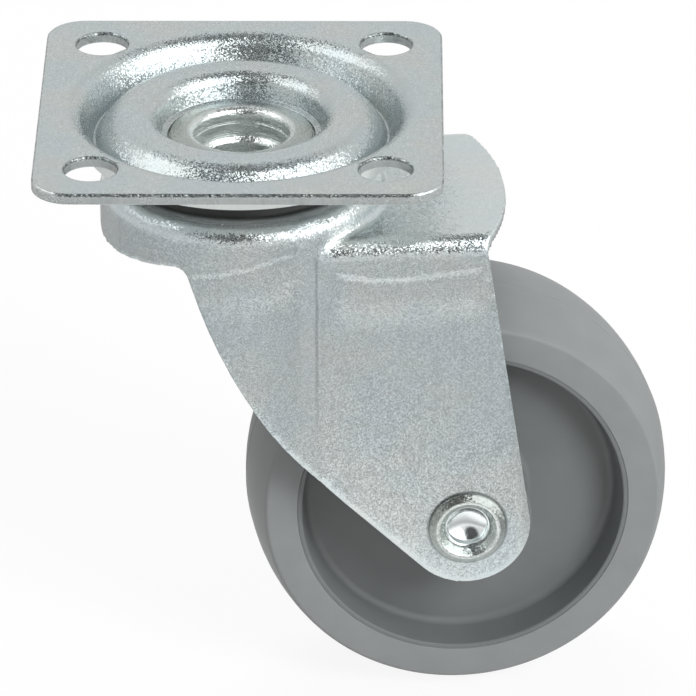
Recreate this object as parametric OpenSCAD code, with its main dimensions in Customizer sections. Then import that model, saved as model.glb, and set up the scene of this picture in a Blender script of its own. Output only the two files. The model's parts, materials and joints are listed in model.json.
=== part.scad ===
/* [Plate] */
// Side of the square top plate
plate_w = 60; // [56:0.5:80]
// Thickness of the plate's sheet
plate_t = 1.7; // [1.4:0.1:2]
// Radius of the plate's corners
plate_corner_r = 5.7; // [3:0.1:8]
// Distance between the centres of neighbouring fixing holes
hole_pitch = 43; // [42:0.5:47]
// Diameter of the fixing holes
hole_d = 7.8; // [5:0.1:8.4]
// Depth of the plateau round the rivet, below the plate's face
plateau_depth = 1; // [0.6:0.1:1.4]
// Depth of the ring groove at its crease, below the plate's face
groove_depth = 5.4; // [4.8:0.1:5.8]

/* [Ball races] */
// Diameter of the steel balls
ball_d = 4.8; // [4.4:0.1:5]
// Radius of the ring on which the upper balls run
upper_track_r = 16; // [15.8:0.1:16.4]
// Number of upper balls
upper_ball_count = 19; // [12:1:19]
// Radius of the ring on which the lower balls run
lower_track_r = 11.9; // [11.6:0.1:12.4]
// Number of lower balls
lower_ball_count = 14; // [10:1:14]
// Play between a ball and each of its races
ball_play = 0.1; // [0.06:0.01:0.15]
// Thickness of the lower race's sheet
race_t = 1.5; // [1.2:0.1:1.8]

/* [Swivel rivet] */
// Bore of the swivel rivet at its rolled end
king_bore_d = 13.8; // [12.6:0.1:14.2]
// Wall of the swivel rivet at its rolled end
king_wall = 1.3; // [1:0.1:1.5]
// Bore of the swivel rivet below its ledge
king_low_bore_d = 11.2; // [10:0.1:12]
// Depth of the ledge below the rivet's crest
king_ledge_depth = 4.6; // [4:0.1:6]
// Height of the rolled collar
king_collar_h = 1.2; // [1:0.1:1.3]
// Diameter of the rolled collar
king_collar_d = 21.4; // [20:0.1:21.6]
// Thickness of the flange under the lower race
king_flange_t = 1.7; // [1.2:0.1:2.4]

/* [Fork] */
// Thickness of the fork's sheet
fork_t = 1.8; // [1.5:0.1:2]
// Width across the outer faces of the legs
fork_w = 37.8; // [36.5:0.1:39]
// Width of the head's flat ring between the race's lip and the shoulder
head_flat = 0.2; // [0.1:0.05:0.6]
// Radius of the head's rounded shoulder
shoulder_r = 3.05; // [2.6:0.05:3.1]
// Depth of the flat tongue's upper face below the head's flat ring
tongue_drop = 4.3; // [3.8:0.1:5]
// Outer radius of the bend between the tongue and a leg
leg_bend_r = 2.7; // [2.3:0.1:3.4]
// Radius of the tongue's front edge
tongue_r = 42.3; // [38:0.1:46]
// Reach of the tongue from the swivel axis
tongue_reach = 39.4; // [38.6:0.1:41]
// Distance from the swivel axis to the wheel's axle
trail = 32.3; // [31:0.1:36]
// Depth of the axle below the plate's face
axle_depth = 62.9; // [60:0.1:72]
// Radius of the round end of each leg
leg_end_r = 9.5; // [8.5:0.1:10.5]
// Slope of a leg's lower edge from the level
leg_edge_angle = 44.6; // [42:0.1:48]
// Slope of a leg's back edge from the upright, where it leaves the head
leg_back_angle = 17; // [14:0.1:20]
// Radius of the curve in a leg's back edge
leg_back_r = 90; // [60:1:95]
// Height of the head's skirt at a leg's root, below the head's flat ring
skirt_h = 7.1; // [6:0.1:9]
// Slope of the skirt's lower edge from the level
skirt_angle = 12; // [4:0.5:16]
// Radius of the corner between the skirt and a leg
skirt_corner_r = 1.8; // [1:0.1:2.4]
// Radius of the upright crease where the head runs into a leg
crease_r = 4; // [2:0.1:6]
// Turn of the fork about the swivel axis, as it stands
swivel_at_rest = 5.2; // [-30:0.1:30]

/* [Axle] */
// Bore of the tubular axle rivet
axle_bore_d = 6.2; // [5:0.1:6.6]
// Wall of the axle rivet
axle_wall = 1; // [0.8:0.1:1.2]
// Diameter of the axle rivet's rolled ends
axle_collar_d = 11.8; // [11.2:0.1:13]
// Height of the axle rivet's rolled ends
axle_collar_h = 1.1; // [0.9:0.05:1.2]
// Wall of the spacer sleeve between the legs
sleeve_wall = 1.5; // [1:0.1:2]

/* [Wheel] */
// Diameter of the wheel at the middle of its tread
wheel_d = 64.2; // [60:0.2:65]
// Width of the tyre
tyre_w = 24.1; // [20:0.1:26]
// Rise of the crowned tread over the tyre's shoulders
tread_crown = 2.1; // [1.8:0.1:3.2]
// Diameter at which the tyre meets the centre's rim
rim_d = 50.4; // [49:0.1:53]
// Thickness of the centre's rim at the face
rim_wall = 0.7; // [0.5:0.1:1.5]
// Slope of the recess wall
recess_draft = 10; // [4:0.5:12]
// Thickness of the wheel's web
web_t = 13; // [5:0.1:15]
// Diameter of the hub
hub_d = 20; // [17:0.1:24]
// Play between the hub's ends and the legs
hub_play = 0.3; // [0.15:0.05:0.6]

/* [Hidden] */
$fn = 96;
// Running clearance of the hub on its sleeve, and of a rivet in its hole
run_fit = 0.08;
hole_fit = 0.05;
// Amount by which a cutting shape runs past a face
over = 1;
// Least radius of a bend's inner side, and a rolled collar's lip as a share of its height
least_bend = 0.1;
lip_share = 0.4;
// Level well below every piece
low = -axle_depth - wheel_d;

// Plateau of the plate, inwards and outwards from the upper balls' ring
plateau_in = 3.1;
plateau_out = 2.4;
// Widths of the slopes from the plateau to the groove, from there to the face, and to the floor
groove_slope_in = 3.5;
groove_slope_out = 3.1;
floor_slope = 1.8;
// Width of the rounded rim round the dish, and drop from the plateau to the floor
dish_rim_w = 1.3;
floor_drop = 4.2;
// Bends of the plate's section: along the slopes, and at the groove's crease
press_bend = 2;
crease_bend = 1;
// Step coined round the floor
step_w = 0.9;
step_h = 1;
step_sunk = 0.3;

plate_dish_in = upper_track_r - plateau_in;
plate_dish_out = upper_track_r + plateau_out;
groove_r = plate_dish_out + groove_slope_in;
dish_r = groove_r + groove_slope_out;
dish_rim_r = dish_r + dish_rim_w;
floor_depth = plateau_depth + floor_drop;
floor_r = plate_dish_in - floor_slope;
king_r = king_bore_d / 2 + king_wall;
king_top = -floor_depth + king_collar_h;

// Head of the fork: rise at the track's edges, drops to its outer ring and to its inner ring
race_rise = 0.4;
head_drop = 2.3;
inner_drop = 1.2;
// Inner ring's width inside the track, its slope, the ring outside the track, the lip round that
ring_in = 3.1;
ring_slope = 1.2;
ring_out = 1.4;
ring_lip = 0.6;
// Bends from the inner ring to the outer: ring, track's inner edge, track's outer edge, lip
ring_bend = 0.6;
track_bend_in = 0.8;
track_bend_out = 0.5;
lip_bend = 0.15;
// Play of the head's hole round the swivel rivet
hole_play = 1;
// Lower race: flat track's edge, start of the lip, width and rise of the lip
lower_flat = 1.4;
lower_lip_start = 2.8;
lower_race_w = 4.9;
lip_rise = 1.8;
lower_bend_out = 0.2;
flange_in = 0.4;

ball_r = ball_d / 2;
upper_ball_z = -plateau_depth - plate_t - ball_play - ball_r;
race_z = upper_ball_z - ball_r - ball_play;
race_edge_z = race_z + race_rise;
head_z = race_z - head_drop;
inner_ring_z = race_z - inner_drop;
lower_ball_z = inner_ring_z - fork_t - ball_play - ball_r;
lower_race_z = lower_ball_z - ball_r - ball_play;
lower_race_lip_z = lower_race_z + lip_rise;
lower_race_r = lower_track_r + lower_race_w;
flange_z = lower_race_z - race_t;
flange_r = lower_track_r - flange_in;
fork_hole_r = king_r + hole_play;
head_r = upper_track_r + ring_out + ring_lip + head_flat + shoulder_r;

// Legs: start of the front edge under the tongue, and start of the back edge at the skirt
front_step = 0.4;
front_forward = 0.1;
front_corner_r = 0.3;
leg_root_x = -9.9;
// Fillet where the head's wall meets the tongue
foot_r = 1.2;

half_w = fork_w / 2;
inner_half = half_w - fork_t;
tongue_z = head_z - tongue_drop;
wall_top = tongue_z - leg_bend_r;
axle = [trail, -axle_depth];
axle_r = axle_bore_d / 2 + axle_wall;
sleeve_r = axle_r + hole_fit + sleeve_wall;
fork_reach = max(tongue_reach, trail + leg_end_r) + over;

// Wheel: ring that keys the tyre, step of the rim's face, small edges and root fillets
key_h = 2.2;
key_half = 3.5;
rim_step = 0.1;
edge_r = 0.4;
root_r = 1.2;
sunk = 0.1;

hub_r = hub_d / 2;
rim_r = rim_d / 2;
hub_half = inner_half - hub_play;
tyre_half = tyre_w / 2;
rim_half = tyre_half - rim_step;
half_web = web_t / 2;
crown_r = (tyre_half * tyre_half + tread_crown * tread_crown) / (2 * tread_crown);
recess_top_r = rim_r - rim_wall;
recess_low_r = recess_top_r - (tyre_half - half_web) * tan(recess_draft);

function ball_name(row, i) = str(row, "_ball_", i < 10 ? "0" : "", i);
UPPER_BALLS = [for (i = [1:upper_ball_count]) ball_name("upper", i)];
LOWER_BALLS = [for (i = [1:lower_ball_count]) ball_name("lower", i)];
PRESSED = ["top_plate", "king_rivet", "lower_race", "fork"];
ROLLING = ["axle_rivet", "axle_sleeve", "wheel_centre", "tyre"];

ZINC = [0.74, 0.77, 0.78];
STEEL = [0.80, 0.81, 0.82];
RUBBER_GREY = [0.52, 0.525, 0.525];
PLASTIC_GREY = [0.42, 0.43, 0.43];

// Paths of a sheet's section: points joined by straight runs, with a radius at each bend
function unit(v) = v / norm(v);
function right_of(u) = [u[1], -u[0]];
function run(p, i) = unit(p[i + 1] - p[i]);
function turn(p, i) = let (a = run(p, i - 1), b = run(p, i)) a[0] * b[1] - a[1] * b[0];
function half_turn(p, i) = acos(min(1, run(p, i - 1) * run(p, i))) / 2;
function setback(p, r, i) = r[i] * tan(half_turn(p, i));
function bend_in(p, r, i) = p[i] - run(p, i - 1) * setback(p, r, i);
function bend_centre(p, r, i) =
    p[i] + unit(run(p, i) - run(p, i - 1)) * r[i] / cos(half_turn(p, i));

// The same path moved to its right by the sheet's thickness
function moved_point(p, t, i) =
    let (last = len(p) - 1,
         a = right_of(run(p, max(i - 1, 0))),
         b = right_of(run(p, min(i, last - 1))))
    p[i] + (a + b) * t / (1 + a * b);
function moved(p, t) = [for (i = [0:len(p) - 1]) moved_point(p, t, i)];
function moved_bends(p, r, t) =
    [for (i = [0:len(p) - 1])
        i == 0 || i == len(p) - 1 ? 0 : (turn(p, i) < 0 ? max(r[i] - t, least_bend) : r[i] + t)];

// Flats that follow a round within a small gap
flat_gap = 0.02;
function flat_count(r, a) = max(2, ceil(a / (2 * acos(1 - flat_gap / max(r, 2 * flat_gap)))));
function arc(c, r, from, to) =
    let (n = flat_count(r, abs(to - from)))
    [for (k = [0:n]) c + r * [cos(from + (to - from) * k / n), sin(from + (to - from) * k / n)]];
function turned(v, a) = [v[0] * cos(a) - v[1] * sin(a), v[0] * sin(a) + v[1] * cos(a)];
function bend_flats(p, r, i) =
    let (c = bend_centre(p, r, i),
         v = bend_in(p, r, i) - c,
         a = 2 * half_turn(p, i),
         n = flat_count(r[i], a))
    [for (k = [0:n]) c + turned(v, sign(turn(p, i)) * a * k / n)];

// The path with its bends rounded
function rounded(p, r) =
    let (last = len(p) - 1)
    concat([p[0]],
           [for (i = [1:last - 1]) each (r[i] > 0 ? bend_flats(p, r, i) : [p[i]])],
           [p[last]]);
function backwards(p) = [for (i = [len(p) - 1:-1:0]) p[i]];
function flipped(p) = backwards([for (q = p) [q[0], -q[1]]]);

// Area to the right of a path, with its ends joined by more points
module rounded_area(p, r, closing) {
    polygon(backwards(concat(rounded(p, r), closing)));
}

// Section of a pressed sheet whose upper face follows a path
module pressed_section(p, r, t) {
    lower = rounded(moved(p, t), moved_bends(p, r, t));
    polygon(backwards(concat(rounded(p, r), backwards(lower))));
}

// Section of a rolled collar: a round crest that falls away to its outer edge
module rolled_collar(bore_r, collar_r, h) {
    lip_r = h * lip_share;
    crest = [bore_r + h, 0];
    lip = [collar_r - lip_r, lip_r];
    difference() {
        union() {
            translate(crest) circle(r = h);
            translate(lip) circle(r = lip_r);
            polygon([crest, [lip[0], 0], lip + [0, lip_r], crest + [0, h]]);
        }
        translate([0, -h]) square([collar_r + over, h]);
    }
}

// Top plate: flat square, ring groove, plateau and sunk floor for the swivel rivet
module plate_outline() {
    inner = plate_w - 2 * plate_corner_r;
    square([plate_w, inner], center = true);
    square([inner, plate_w], center = true);
    for (x = [-1, 1], y = [-1, 1])
        translate([x, y] * inner / 2) circle(r = plate_corner_r);
}

module top_plate() {
    dish = [
        [king_r + hole_fit, -floor_depth],
        [floor_r, -floor_depth],
        [plate_dish_in, -plateau_depth],
        [plate_dish_out, -plateau_depth],
        [groove_r, -groove_depth],
        [dish_r, 0],
        [dish_rim_r, 0]
    ];
    bends = [0, 0, press_bend, press_bend, crease_bend, press_bend, 0];
    color(ZINC) {
        translate([0, 0, -plate_t]) linear_extrude(plate_t) difference() {
            plate_outline();
            circle(r = dish_rim_r);
            for (x = [-1, 1], y = [-1, 1])
                translate([x, y] * hole_pitch / 2) circle(d = hole_d);
        }
        rotate_extrude() pressed_section(dish, bends, plate_t);
        rotate_extrude() coined_step();
    }
}

// Small step coined into the corner of the plate's floor
module coined_step() {
    translate([floor_r, -floor_depth]) polygon([
        [step_w, -step_sunk],
        [step_w, step_h - sunk],
        [step_w - step_sunk, step_h],
        [0, step_h - step_sunk],
        [-step_sunk, -step_sunk]
    ]);
}

// Hollow swivel rivet: rolled collar, bore with a rounded ledge, flange under the lower race
module king_rivet() {
    bore_r = king_bore_d / 2;
    low_bore_r = king_low_bore_d / 2;
    ledge_r = bore_r - low_bore_r;
    round_z = king_top - king_ledge_depth - 2 * ledge_r;
    foot_z = flange_z - king_flange_t;
    color(ZINC) rotate_extrude() {
        translate([0, -floor_depth]) rolled_collar(bore_r, king_collar_d / 2, king_collar_h);
        translate([low_bore_r, foot_z]) square([flange_r - low_bore_r, king_flange_t]);
        translate([bore_r, foot_z]) square([king_wall, -foot_z - floor_depth]);
        translate([low_bore_r, foot_z]) square([ledge_r, round_z - foot_z]);
        intersection() {
            translate([bore_r, round_z]) circle(r = ledge_r);
            translate([low_bore_r, round_z - ledge_r]) square([2 * ledge_r, 2 * ledge_r]);
        }
    }
}

// Pressed cup under the fork's head, with a track for the lower balls and a flat lip
module lower_race() {
    cup = [
        [king_r + hole_fit, lower_race_z],
        [lower_track_r + lower_flat, lower_race_z],
        [lower_track_r + lower_lip_start, lower_race_lip_z],
        [lower_race_r, lower_race_lip_z]
    ];
    bends = [0, ball_r + ball_play, race_t + lower_bend_out, 0];
    color(ZINC) rotate_extrude() pressed_section(cup, bends, race_t);
}

// Ring of balls
module ball(track_r, z, count, i) {
    color(STEEL) rotate(i * 360 / count) translate([track_r, 0, z]) sphere(d = ball_d);
}

// Upper face of the head from its hole to its wall, with a groove for the upper balls
head_path = [
    [fork_hole_r, inner_ring_z],
    [upper_track_r - ring_in, inner_ring_z],
    [upper_track_r - ring_in + ring_slope, race_edge_z],
    [upper_track_r + ring_out, race_edge_z],
    [upper_track_r + ring_out + ring_lip, head_z],
    [head_r, head_z],
    [head_r, wall_top]
];
head_bends = [0, ring_bend, track_bend_in, track_bend_out, lip_bend, shoulder_r, 0];

module head_form(inset) {
    last = len(head_path) - 1;
    face = moved(head_path, inset);
    hole = [inset == 0 ? fork_hole_r : 0, face[0][1]];
    foot = [face[last][0], wall_top - inset];
    path = [for (i = [0:last]) i == 0 ? hole : (i == last ? foot : face[i])];
    bends = inset == 0 ? head_bends : moved_bends(head_path, head_bends, inset);
    rotate_extrude() rounded_area(path, bends, [[hole[0], foot[1]]]);
}

// Groove in the head's upper face in which the upper balls run
module upper_race_groove() {
    rotate_extrude() translate([upper_track_r, upper_ball_z])
        circle(r = ball_r + ball_play);
}

// Top of the channel over the wheel, with a bend along each leg
module channel_form(inset) {
    r = leg_bend_r - inset;
    w = half_w - inset;
    top = tongue_z - inset;
    floor_z = wall_top - inset - over;
    rotate([90, 0, 90]) linear_extrude(fork_reach + inset) polygon(concat(
        [[-w, floor_z], [w, floor_z]],
        arc([w - r, top - r], r, 0, 90),
        arc([r - w, top - r], r, 90, 180)
    ));
}

// Upright walls in plan: round back, hollow creases and flat legs
module plan_form(inset) {
    w = half_w - inset;
    bottom = low - inset;
    centre = [sqrt(pow(head_r + crease_r, 2) - pow(half_w + crease_r, 2)), half_w + crease_r];
    hollow = arc(centre, crease_r + inset, -90, atan2(centre[1], centre[0]) - 180);
    last = len(hollow) - 1;
    crease = concat([[0, 0], [centre[0], 0]], [for (i = [0:last - 1]) hollow[i]],
                    [hollow[last] * (1 - flat_gap / head_r)]);
    translate([0, 0, bottom]) linear_extrude(wall_top - inset - bottom) {
        circle(r = head_r - inset);
        translate([0, -w]) square([fork_reach + inset, 2 * w]);
        polygon(crease);
        polygon(flipped(crease));
    }
}

module fork_form(inset) {
    head_form(inset);
    channel_form(inset);
    plan_form(inset);
}

// Fillet where the head's wall meets the tongue
module head_foot() {
    centre = [head_r + foot_r - flat_gap, tongue_z + foot_r];
    side = half_w - leg_bend_r;
    intersection() {
        rotate_extrude() polygon(concat(
            [[head_r - over, tongue_z - over], [centre[0], tongue_z - over]],
            backwards(arc(centre, foot_r, 180, 270)),
            [[head_r - over, centre[1]]]
        ));
        translate([head_r / 2, -side, tongue_z - over]) cube([head_r, 2 * side, 4 * over]);
    }
}

// Outline of the bent sheet seen from the side: tongue, front edge, round end, back edge, skirt
function meet(a, u, b, v) =
    let (k = ((b[0] - a[0]) * v[1] - (b[1] - a[1]) * v[0]) / (u[0] * v[1] - u[1] * v[0]))
    a + u * k;
tongue_low_z = tongue_z - fork_t - front_step;
tongue_side_x = tongue_reach - tongue_r + sqrt(tongue_r * tongue_r - half_w * half_w);
front_top = [tongue_side_x + front_forward, tongue_low_z];
to_axle = axle - front_top;
front_angle = atan2(to_axle[1], to_axle[0]) + asin(leg_end_r / norm(to_axle));
front_run = [cos(front_angle), sin(front_angle)];
edge_run = [-cos(leg_edge_angle), sin(leg_edge_angle)];
edge_start = axle - leg_end_r * [sin(leg_edge_angle), cos(leg_edge_angle)];
skirt_run = [cos(skirt_angle), sin(skirt_angle)];
leg_root = [leg_root_x, head_z - skirt_h];
back_run = [sin(leg_back_angle), -cos(leg_back_angle)];
beyond = head_r + 2 * over;
leg_points = [
    [-beyond, over],
    [beyond + fork_reach, over],
    [beyond + fork_reach, tongue_low_z],
    front_top,
    meet(front_top, front_run, edge_start, edge_run),
    meet(leg_root, back_run, edge_start, edge_run),
    leg_root,
    leg_root - skirt_run * (beyond + leg_root[0]) / cos(skirt_angle)
];
leg_radii = [0, 0, 0, front_corner_r, leg_end_r, leg_back_r, skirt_corner_r, 0];

module side_outline() {
    rotate([90, 0, 0]) translate([0, 0, -fork_w]) linear_extrude(2 * fork_w)
        rounded_area(leg_points, leg_radii, []);
}

// Trims the tongue to its round front edge
module tongue_trim() {
    far = 2 * fork_reach;
    translate([0, 0, tongue_low_z - front_step]) difference() {
        translate([head_r / 2, -far, 0]) cube([far, 2 * far, far]);
        translate([tongue_reach - tongue_r, 0, -over]) cylinder(r = tongue_r, h = far + 2 * over);
    }
}

module at_fork() {
    rotate(swivel_at_rest) children();
}

module along_axle() {
    at_fork() translate([trail, 0, -axle_depth]) rotate([90, 0, 0]) children();
}

// Fork: drawn round head, tongue and legs from one sheet
module fork() {
    color(ZINC) at_fork() difference() {
        intersection() {
            union() {
                fork_form(0);
                head_foot();
            }
            side_outline();
        }
        fork_form(fork_t);
        tongue_trim();
        upper_race_groove();
        translate([trail, fork_w, -axle_depth]) rotate([90, 0, 0])
            cylinder(r = axle_r + hole_fit, h = 2 * fork_w);
    }
}

// Tubular rivet through both legs, rolled over at each end
module axle_rivet() {
    bore_r = axle_bore_d / 2;
    color(ZINC) along_axle() rotate_extrude() {
        for (s = [0, 1]) mirror([0, s]) translate([0, half_w])
            rolled_collar(bore_r, axle_collar_d / 2, axle_collar_h);
        translate([bore_r, -half_w]) square([axle_wall, fork_w]);
    }
}

// Spacer tube between the legs, on which the hub turns
module axle_sleeve() {
    color(STEEL) along_axle() translate([0, 0, -inner_half]) linear_extrude(2 * inner_half)
        difference() {
            circle(r = sleeve_r);
            circle(r = axle_r + hole_fit);
        }
}

// Half section of the wheel centre: hub, web, rim with a slight draft, ring that keys the tyre
module wheel_centre_side() {
    bore_r = sleeve_r + run_fit;
    polygon([
        [bore_r, 0],
        [rim_r + key_h, 0],
        [rim_r + key_h, key_half],
        [rim_r, key_half],
        [rim_r, rim_half],
        [recess_top_r + edge_r, rim_half],
        [recess_top_r, rim_half - edge_r],
        [recess_low_r, half_web],
        [hub_r, half_web],
        [hub_r, hub_half - edge_r],
        [hub_r - edge_r, hub_half],
        [bore_r + edge_r, hub_half],
        [bore_r, hub_half - edge_r]
    ]);
    root_fillet(hub_r - sunk, hub_r + root_r);
    root_fillet(recess_low_r - root_r, recess_low_r - root_r);
}

// Hollow fillet on the web, from one radius, round a centre at another
module root_fillet(from_r, centre_r) {
    difference() {
        translate([from_r, half_web - sunk]) square(root_r + sunk);
        translate([centre_r, half_web + root_r]) circle(r = root_r);
    }
}

module wheel_centre() {
    color(PLASTIC_GREY) along_axle() rotate_extrude() {
        wheel_centre_side();
        mirror([0, 1]) wheel_centre_side();
    }
}

// Tyre: flat sides and a crowned tread, moulded round the rim's key ring
module tyre() {
    color(RUBBER_GREY) along_axle() rotate_extrude() difference() {
        intersection() {
            translate([rim_r, -tyre_half]) square([wheel_d / 2 - rim_r, tyre_w]);
            translate([wheel_d / 2 - crown_r, 0]) circle(r = crown_r);
        }
        translate([rim_r - over, -key_half]) square([key_h + over, 2 * key_half]);
    }
}

top_plate();
king_rivet();
lower_race();
fork();
axle_rivet();
axle_sleeve();
wheel_centre();
tyre();
for (i = [1:upper_ball_count]) {
    ball(upper_track_r, upper_ball_z, upper_ball_count, i);
}
for (i = [1:lower_ball_count]) {
    ball(lower_track_r, lower_ball_z, lower_ball_count, i);
}
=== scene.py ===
"""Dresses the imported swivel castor: pressed and plated steel, a moulded wheel and a studio."""

import json
import math

import bmesh
import bpy
from bpy.props import FloatProperty, FloatVectorProperty, IntProperty, PointerProperty
from mathutils import Matrix, Vector
from mathutils.bvhtree import BVHTree


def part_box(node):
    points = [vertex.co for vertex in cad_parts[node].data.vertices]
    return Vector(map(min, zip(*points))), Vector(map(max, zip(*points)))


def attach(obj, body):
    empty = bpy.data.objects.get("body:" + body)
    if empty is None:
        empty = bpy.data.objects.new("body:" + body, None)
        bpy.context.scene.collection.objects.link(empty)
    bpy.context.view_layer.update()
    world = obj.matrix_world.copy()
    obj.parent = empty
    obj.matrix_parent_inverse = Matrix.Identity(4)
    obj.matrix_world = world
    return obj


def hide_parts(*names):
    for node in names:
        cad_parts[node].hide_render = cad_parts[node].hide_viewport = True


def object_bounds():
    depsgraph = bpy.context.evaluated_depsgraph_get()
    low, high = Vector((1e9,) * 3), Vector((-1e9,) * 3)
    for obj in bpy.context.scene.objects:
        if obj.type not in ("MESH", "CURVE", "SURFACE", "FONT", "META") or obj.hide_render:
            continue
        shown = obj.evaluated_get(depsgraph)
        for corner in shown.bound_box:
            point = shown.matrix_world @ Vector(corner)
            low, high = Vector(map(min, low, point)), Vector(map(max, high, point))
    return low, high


bl_info = {
    "name": "Swivel Castor",
    "version": (1, 0, 0),
    "blender": (4, 5, 0),
    "location": "3D View > Sidebar > Castor",
    "description": "Models a plate-fixed swivel castor over its packed parts",
    "category": "Object",
}

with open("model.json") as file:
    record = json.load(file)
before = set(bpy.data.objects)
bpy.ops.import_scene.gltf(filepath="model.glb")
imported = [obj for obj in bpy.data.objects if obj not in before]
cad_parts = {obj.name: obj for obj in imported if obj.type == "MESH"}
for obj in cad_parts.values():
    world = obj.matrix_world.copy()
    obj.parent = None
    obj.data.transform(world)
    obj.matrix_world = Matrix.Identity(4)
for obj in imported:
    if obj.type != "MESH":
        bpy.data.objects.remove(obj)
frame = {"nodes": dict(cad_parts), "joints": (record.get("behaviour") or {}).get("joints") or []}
CAD_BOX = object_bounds()
JOINTS = {joint["name"]: joint for joint in frame["joints"]}

MM = 0.001
WELD = 1e-6
TURN_STEPS = 192
WHEEL_STEPS = 256
HOLE_STEPS = 64
ROUND_STEP = math.radians(9)
SHARP = math.radians(40)

AXLE = Vector(JOINTS["wheel_spin"]["pos_m"])
FORK_TURN = math.atan2(AXLE.y, AXLE.x)
FORK_AHEAD = (math.cos(FORK_TURN), math.sin(FORK_TURN), 0)
FORK_ASIDE = (math.sin(FORK_TURN), -math.cos(FORK_TURN), 0)
FORK_PLACE = Matrix.Rotation(FORK_TURN, 4, "Z")
WHEEL_PLACE = Matrix.Translation(AXLE) @ FORK_PLACE @ Matrix.Rotation(math.pi / 2, 4, "X")
UPWARD = (0, 0, 1)
DOWNWARD = (0, 0, -1)


# Sizes and colours


def length(name, millimetres, description):
    """Property for a length, with its default given in millimetres"""
    return FloatProperty(name=name, description=description, default=millimetres * MM,
                         precision=5, unit="LENGTH")


def colour(name, default, description):
    """Property for a colour"""
    return FloatVectorProperty(name=name, description=description, default=default,
                               size=3, min=0.0, max=1.0, subtype="COLOR")


class CastorPlateSizes(bpy.types.PropertyGroup):
    """Sizes of the top plate"""

    side: length("Side", 60, "Side of the square plate")
    sheet: length("Sheet", 1.7, "Thickness of the plate's sheet")
    corner: length("Corner", 5.7, "Radius of the plate's corners")
    pitch: length("Hole Pitch", 43, "Distance between neighbouring fixing holes")
    hole: length("Hole", 7.8, "Diameter of the fixing holes")
    rim_round: length("Rim Round", 0.42, "Round of the sheared rims on the upper face")
    burr_round: length("Burr Round", 0.12, "Round of the sheared rims on the lower face")


class CastorForkSizes(bpy.types.PropertyGroup):
    """Sizes of the fork's surface"""

    voxel: length("Voxel", 0.42, "Size of the cells in which the fork's skin is remade")
    half_width: length("Half Width", 18.9, "Half the width across the legs")
    fold_reach: length("Fold Reach", 5.5, "Reach of the soft fold between head and leg")
    fold_passes: IntProperty(name="Fold Passes", default=14, min=0, max=60,
                             description="Smoothing passes over the fold")
    skin_passes: IntProperty(name="Skin Passes", default=2, min=0, max=10,
                             description="Smoothing passes over the whole skin")


class CastorWheelSizes(bpy.types.PropertyGroup):
    """Sizes of the wheel's centre and tyre"""

    diameter: length("Diameter", 64.2, "Diameter at the middle of the tread")
    width: length("Width", 24.1, "Width of the tyre")
    shoulder: length("Shoulder", 60.0, "Diameter at the tyre's shoulders")
    rim: length("Rim", 50.4, "Diameter at which the tyre meets the centre")
    rim_wall: length("Rim Wall", 0.7, "Thickness of the rim at its face")
    draft: FloatProperty(name="Draft", default=math.radians(10), subtype="ANGLE",
                         description="Slant of the recess's outer wall")
    web: length("Web", 13.0, "Thickness of the web")
    hub: length("Hub", 20.0, "Diameter of the hub")
    hub_reach: length("Hub Reach", 16.8, "Half the length of the hub")
    bore: length("Bore", 11.46, "Diameter of the hub's bore")


class CastorFinishes(bpy.types.PropertyGroup):
    """Colours of the castor's surfaces"""

    # The plate's two colours are the fork's zinc painted a little darker, as painted shade
    shaded_plate_cool: colour("Cool Plate", (0.50, 0.56, 0.575), "Plating of the plate where it is cool")
    shaded_plate_warm: colour("Warm Plate", (0.535, 0.57, 0.555), "Plating of the plate where it is warm")
    zinc_cool: colour("Cool Zinc", (0.54, 0.60, 0.62), "Plating where it looks cool")
    zinc_warm: colour("Warm Zinc", (0.58, 0.615, 0.60), "Plating where it looks warm")
    rivet_cool: colour("Cool Rivet", (0.38, 0.43, 0.42), "Plating of the rivets where it is cool")
    rivet_warm: colour("Warm Rivet", (0.43, 0.46, 0.43), "Plating of the rivets where it is warm")
    tyre: colour("Tyre", (0.212, 0.222, 0.222), "Grey of the tyre")
    centre: colour("Centre", (0.138, 0.147, 0.147), "Grey of the wheel's centre")
    steel: colour("Steel", (0.56, 0.57, 0.58), "Drawn steel of the axle's sleeve")
    ball: colour("Ball", (0.10, 0.10, 0.095), "Steel balls under their film of dark grease")


class CastorStage(bpy.types.PropertyGroup):
    """Camera and studio"""

    eye: FloatVectorProperty(name="Eye", size=3, subtype="TRANSLATION", precision=5,
                             default=(0.02257, -0.85895, 0.41087),
                             description="Place of the camera")
    tilt: FloatProperty(name="Tilt", default=math.radians(27.734), subtype="ANGLE",
                        description="Angle at which the camera looks down")
    heading: FloatProperty(name="Heading", default=math.radians(0.453), subtype="ANGLE",
                           description="Turn of the camera about the upright")
    roll: FloatProperty(name="Roll", default=math.radians(-0.126), subtype="ANGLE",
                        description="Turn of the camera about its view")
    lens: FloatProperty(name="Lens", default=331.6, min=1.0, subtype="NONE",
                        description="Focal length in millimetres on a 36 mm sensor")
    white: FloatProperty(name="Backdrop", default=1.0, min=0.0,
                         description="Brightness of the backdrop, where 1 is white")
    room: FloatProperty(name="Room Light", default=0.41, min=0.0,
                        description="Soft light of the room on matt surfaces")


class CastorSettings(bpy.types.PropertyGroup):
    """All settings of the castor"""

    plate: PointerProperty(type=CastorPlateSizes)
    fork: PointerProperty(type=CastorForkSizes)
    wheel: PointerProperty(type=CastorWheelSizes)
    finishes: PointerProperty(type=CastorFinishes)
    stage: PointerProperty(type=CastorStage)


# Shaping


def round_corner(mesh, corner, radius):
    """Rounds one corner of a wire"""
    arms = [(edge.other_vert(corner).co - corner.co).normalized() for edge in corner.link_edges]
    turn = math.pi - arms[0].angle(arms[1])
    bmesh.ops.bevel(mesh, geom=[corner], affect="VERTICES", offset=radius * math.tan(turn / 2),
                    offset_type="OFFSET", segments=max(2, round(turn / ROUND_STEP)),
                    profile=0.5, material=-1)


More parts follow.
